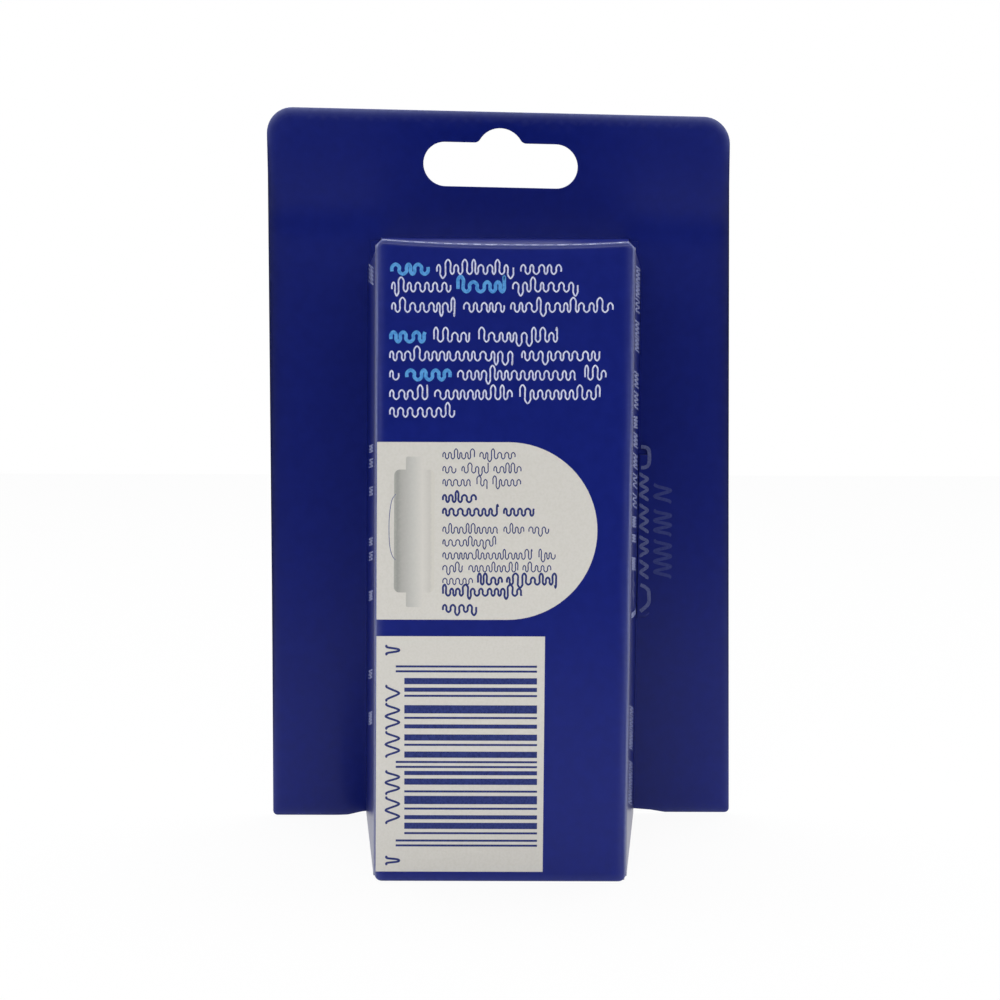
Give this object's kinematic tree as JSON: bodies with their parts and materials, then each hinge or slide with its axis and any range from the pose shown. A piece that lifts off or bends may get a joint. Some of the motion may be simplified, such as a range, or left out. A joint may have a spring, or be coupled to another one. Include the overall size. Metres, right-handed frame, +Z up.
{
  "type": "floss dispenser in a hanging retail pack",
  "caption": "Tapered paperboard carton on a rounded header card with a euro hang hole, holding a refillable flip-top floss dispenser that slides out as the carton opens.",
  "frame": {"origin": "under the middle of the whole pack, on the surface it stands on", "axes": "+X to the right as the carton's printed back is seen, +Y from that back to the header card, +Z up"},
  "size_m": [0.07, 0.0408, 0.108],
  "materials": {
    "blue_printed_board": "coated paperboard, printed dark blue, satin",
    "plain_board": "uncoated paperboard, off-white",
    "white_case_plastic": "moulded, satin white",
    "blue_lid_plastic": "moulded, glossy blue",
    "insert_plastic": "moulded, matte light grey",
    "cutter_steel": "thin stamped steel",
    "core_plastic": "moulded, matte grey",
    "waxed_floss": "waxed white thread"
  },
  "bodies": {
    "pack": {"hang_card_back": "blue_printed_board", "hang_card_front": "blue_printed_board", "carton_front_panel": "blue_printed_board", "left_wall": "blue_printed_board", "side_glue_flap": "plain_board", "top_panel": "blue_printed_board", "bottom_panel": "blue_printed_board", "top_dust_flap_left": "blue_printed_board", "top_dust_flap_right": "blue_printed_board", "bottom_dust_flap_left": "plain_board", "bottom_dust_flap_right": "plain_board", "top_glue_tab": "plain_board", "bottom_glue_tab": "plain_board"},
    "carton_door": {"back_panel": "blue_printed_board"},
    "side_panel": {"right_wall": "blue_printed_board"},
    "tear_tab": {"opening_tab": "blue_printed_board"},
    "dispenser": {"dispenser_case": "white_case_plastic", "guide_insert": "insert_plastic", "cutter_blade": "cutter_steel", "floss_strand": "waxed_floss", "lid_pin": "cutter_steel"},
    "flip_lid": {"lid": "blue_lid_plastic"},
    "case_door": {"refill_door": "white_case_plastic", "refill_door_pins": "insert_plastic"},
    "refill": {"refill_core": "core_plastic", "floss_winding": "waxed_floss"}
  },
  "joints": [
    {"name": "dispenser_slide", "type": "slide", "parent": "pack", "child": "dispenser", "axis": [0, -1, 0], "range_m": [0, 0.05]},
    {"name": "carton_door_hinge", "type": "hinge", "parent": "pack", "child": "carton_door", "pos_m": [-0.01695, -0.02045, 0.0445], "axis": [0, 0, -1], "range_deg": [0, 206.4]},
    {"name": "side_panel_fold", "type": "hinge", "parent": "carton_door", "child": "side_panel", "pos_m": [0.01855, -0.02045, 0.0445], "axis": [0, 0, -1], "range_deg": [0, 85]},
    {"name": "tab_lift", "type": "hinge", "parent": "side_panel", "child": "tear_tab", "pos_m": [0.02165, 0.019, 0.0436], "axis": [0, 0, -1], "range_deg": [0, 90]},
    {"name": "lid_hinge", "type": "hinge", "parent": "dispenser", "child": "flip_lid", "pos_m": [0.0008, 0.0053, 0.07965], "axis": [-1, 0, 0], "range_deg": [0, 100]},
    {"name": "refill_door_hinge", "type": "hinge", "parent": "dispenser", "child": "case_door", "pos_m": [-0.0131, -0.0021, 0.0376], "axis": [0, 0, -1], "range_deg": [0, 100]},
    {"name": "refill_spin", "type": "hinge", "parent": "dispenser", "child": "refill", "pos_m": [0.0008, 0.0058, 0.0376], "axis": [0, 0, 1], "continuous": true}
  ],
  "couplings": [
    {"joint": "carton_door_hinge", "follows": "dispenser_slide", "rad_per_m": 72},
    {"joint": "lid_hinge", "follows": "dispenser_slide", "rad_per_m": 34.9},
    {"joint": "refill_door_hinge", "follows": "dispenser_slide", "rad_per_m": 34.9}
  ]
}
